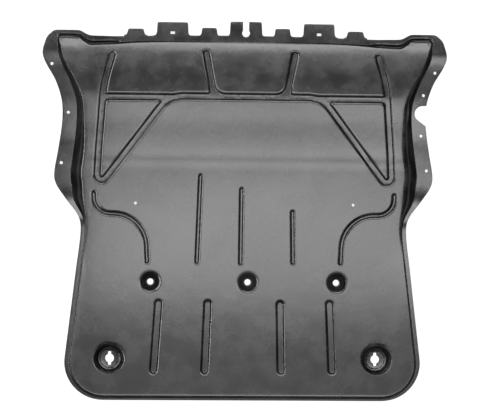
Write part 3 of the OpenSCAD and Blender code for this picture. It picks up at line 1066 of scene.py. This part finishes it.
    def free_points(self) -> np.ndarray:
        """Lays the grid of points that carries the panel between its beads, cups and holes.

        Returns:
            The points.
        """
        xs, ys = np.meshgrid(np.arange(-399.0, 400.0, 14.0), np.arange(-423.0, 384.0, 9.0))
        free = np.stack([xs.ravel(), ys.ravel()], axis=1)
        free = free[inside(free, self.rings()[-1][0])]
        clear = line_gap(free, self.brow_line()) > 8.0
        for bead in self.beads():
            clear &= bead.beyond(free) > 5.0
        for cup in self.cups():
            clear &= np.hypot(free[:, 0] - cup.x, free[:, 1] - cup.y) > cup.reach + 6.0
        for loop in self.holes()[:SMALL_HOLES]:
            clear &= np.linalg.norm(free - loop.mean(axis=0), axis=1) > 11.0
        return free[clear]

    def brow_line(self) -> np.ndarray:
        """Gives the panel's brow as a line that distances are measured from."""
        brow = self.rings()[-1][0]
        return np.vstack([brow, brow[:1]])

    def surface(self) -> tuple[np.ndarray, list[tuple[int, int, int]]]:
        """Makes the road side's surface.

        Returns:
            Its points in millimetres and its triangles.
        """
        points, lines, known = self.plan()
        made = delaunay_2d_cdt([Vector(p) for p in points], lines, [], 0, 0.02)
        flat = np.array([tuple(v) for v in made[0]])
        rings = self.rings()
        outer, brow = rings[0][0], rings[-1][0]
        triangles = np.array([f for f in made[2]])
        middles = flat[triangles].mean(axis=1)
        keep = inside(middles, outer)
        for loop in self.tabs():
            keep |= inside(middles, loop)
        for loop in self.holes():
            keep &= ~inside(middles, loop)
        triangles = triangles[keep]
        z = np.full(len(flat), np.nan)
        for index, sources in enumerate(made[3]):
            values = [known[s] for s in sources if not np.isnan(known[s])]
            if values:
                z[index] = values[0]
        unknown = np.isnan(z)
        on_panel = unknown & inside(flat, brow)
        gaps = line_gap(flat, self.brow_line())
        level = self.panel().read(flat[:, 1]) - self.margin_fall(flat, gaps) + self.ridge_rise(flat, gaps)
        sunk = level - self.sink(flat)
        for cup in self.cups():
            sunk = cup.lower(flat, sunk)
        z[on_panel] = sunk[on_panel]
        off_panel = unknown & ~on_panel
        low = np.maximum(self.flange().read(flat[:, 1]), self.thickness)
        z[off_panel] = np.where(flat[:, 1] > self.side_start, self.lip_z, low)[off_panel]
        return np.column_stack([flat, z]), [tuple(int(i) for i in t) for t in triangles]

    def solid(self) -> bpy.types.Mesh:
        """Gives the surface its thickness.

        Returns:
            The closed mesh of the sheet, in metres.
        """
        points, triangles = self.surface()
        used = sorted({i for t in triangles for i in t})
        renumber = {old: new for new, old in enumerate(used)}
        triangles = [tuple(renumber[i] for i in t) for t in triangles]
        top = points[used]
        skin = bpy.data.meshes.new("sheet_surface")
        skin.from_pydata(top.tolist(), [], triangles)
        if skin.polygons[0].normal.z < 0:
            triangles = [t[::-1] for t in triangles]
            skin.flip_normals()
        lean = np.array([v.normal.z for v in skin.vertices])
        upright = np.clip(1 / np.maximum(lean, 0.2), 1.0, 1.8)
        below = top.copy()
        below[:, 2] = np.maximum(top[:, 2] - self.thickness * upright, 0.0)
        bpy.data.meshes.remove(skin)
        n = len(top)
        ways = {}
        for a, b, c in triangles:
            for edge in ((a, b), (b, c), (c, a)):
                ways[edge] = True
        rim = [(a, b) for a, b in ways if (b, a) not in ways]
        faces = triangles + [(c + n, b + n, a + n) for a, b, c in triangles]
        faces += [(b, a, a + n, b + n) for a, b in rim]
        mesh = bpy.data.meshes.new("formed_sheet")
        mesh.from_pydata((np.vstack([top, below]) * MM).tolist(), [], faces)
        mesh.validate()
        outer = {frozenset(pair) for a, b in rim for pair in ((a, b), (a + n, b + n))}
        marks = mesh.attributes.new("bevel_weight_edge", "FLOAT", "EDGE")
        marks.data.foreach_set("value", [float(frozenset(edge.vertices) in outer) for edge in mesh.edges])
        return mesh

    def build(self, material: bpy.types.Material) -> bpy.types.Object:
        """Builds the shown sheet, rounds its rim and dresses it.

        Args:
            material: the shield's plastic.

        Returns:
            The shown sheet.
        """
        sheet = bpy.data.objects.new("formed_sheet", self.solid())
        bpy.context.scene.collection.objects.link(sheet)
        Tools.alone(sheet)
        rounding = sheet.modifiers.new("rim_rounding", "BEVEL")
        rounding.limit_method = "WEIGHT"
        rounding.width = self.rim_bevel * MM
        rounding.segments = 2
        rounding.use_clamp_overlap = False
        bpy.ops.object.modifier_apply(modifier=rounding.name)
        bpy.ops.object.shade_smooth_by_angle(angle=math.radians(self.crisp_angle))
        evened = sheet.modifiers.new("even_normals", "WEIGHTED_NORMAL")
        evened.mode = "FACE_AREA"
        evened.keep_sharp = True
        bpy.ops.object.modifier_apply(modifier=evened.name)
        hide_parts(NODE)
        Tools.finish(sheet, material)
        return sheet


@dataclass
class Studio:
    """Floor, soft lamps and world."""

    floor_size: float = 14.0

    def floor(self) -> bpy.types.Object:
        """Lays the floor under the shield.

        Returns:
            The floor.
        """
        bpy.ops.object.select_all(action="DESELECT")
        bpy.ops.mesh.primitive_plane_add(size=self.floor_size, location=(0.0, 0.0, -0.0004))
        floor = bpy.context.object
        floor.name = "studio_floor"
        bpy.ops.object.transform_apply(location=True, rotation=True, scale=True)
        floor.data.materials.append(StudioFloor().build())
        return floor

    def lamp(self, name: str, place: Triple, aim: Triple, size: tuple[float, float], power: float) -> None:
        """Hangs one soft lamp.

        Args:
            name: the lamp's name.
            place: where it hangs, in metres.
            aim: the point it faces.
            size: its width and height in metres.
            power: its power in watts.
        """
        light = bpy.data.lights.new(name, "AREA")
        light.shape = "RECTANGLE"
        light.size, light.size_y = size
        light.energy = power
        lamp = bpy.data.objects.new(name, light)
        lamp.location = place
        lamp.rotation_euler = (Vector(aim) - Vector(place)).to_track_quat("-Z", "Y").to_euler()
        bpy.context.scene.collection.objects.link(lamp)

    def world(self, strength: float) -> None:
        """Fills the room with even light, seen as white by the camera.

        Args:
            strength: how strong the even light is.
        """
        world = bpy.data.worlds.new("studio_world")
        bpy.context.scene.world = world
        world.use_nodes = True
        links = Links(world.node_tree)
        back = world.node_tree.nodes["Background"]
        back.inputs["Color"].default_value = (1.0, 1.0, 1.0, 1.0)
        path = links.add("ShaderNodeLightPath")
        lit = links.math("MULTIPLY", path.outputs["Is Camera Ray"], 1.0 - strength)
        links.join(links.math("ADD", lit, strength), back.inputs["Strength"])

    def build(self) -> None:
        """Builds the whole studio."""
        self.floor()
        self.lamp("overhead_softbox", (0.335, -0.04, 3.1), (0.335, -0.04, 0.0), (2.03, 0.76), 37.0)
        self.lamp("front_softbox", (0.1, 1.57, 3.0), (0.05, 0.4, 0.0), (2.4, 0.76), 54.0)
        self.lamp("left_softbox", (-1.75, 0.3, 3.0), (-0.3, 0.3, 0.0), (2.8, 0.4), 75.0)
        self.lamp("rear_softbox", (0.2, -0.98, 3.1), (0.2, -0.98, 0.0), (1.9, 1.0), 9.0)
        self.world(0.03)
        LOG.info("studio: floor, four soft lamps and an even world")


@dataclass(frozen=True)
class PhotoCamera:
    """Camera that looks straight down, fitted to landmarks of the photograph."""

    place: Triple = (-0.117, -0.046, 3.0)
    turn: Triple = (0.0183, -0.0361, 0.0091)
    lens: float = 97.37
    sensor: float = 36.0

    def build(self) -> bpy.types.Object:
        """Sets up the camera and the view transform.

        Returns:
            The camera.
        """
        data = bpy.data.cameras.new("photo_camera")
        data.sensor_width = self.sensor
        data.lens = self.lens
        data.clip_start, data.clip_end = 0.05, 50.0
        camera = bpy.data.objects.new("photo_camera", data)
        camera.location = self.place
        camera.rotation_euler = self.turn
        bpy.context.scene.collection.objects.link(camera)
        bpy.context.scene.camera = camera
        bpy.context.scene.view_settings.view_transform = "Standard"
        LOG.info("camera: %.0f mm lens at %.2f m", self.lens, self.place[2])
        return camera


def main() -> None:
    """Builds the pieces in order and reports each one."""
    logging.basicConfig(level=logging.INFO, format="%(message)s")
    plastic = ShieldPlastic().build()
    FormedSheet().build(plastic)
    Studio().build()
    PhotoCamera().build()


if __name__ == "__main__":
    main()
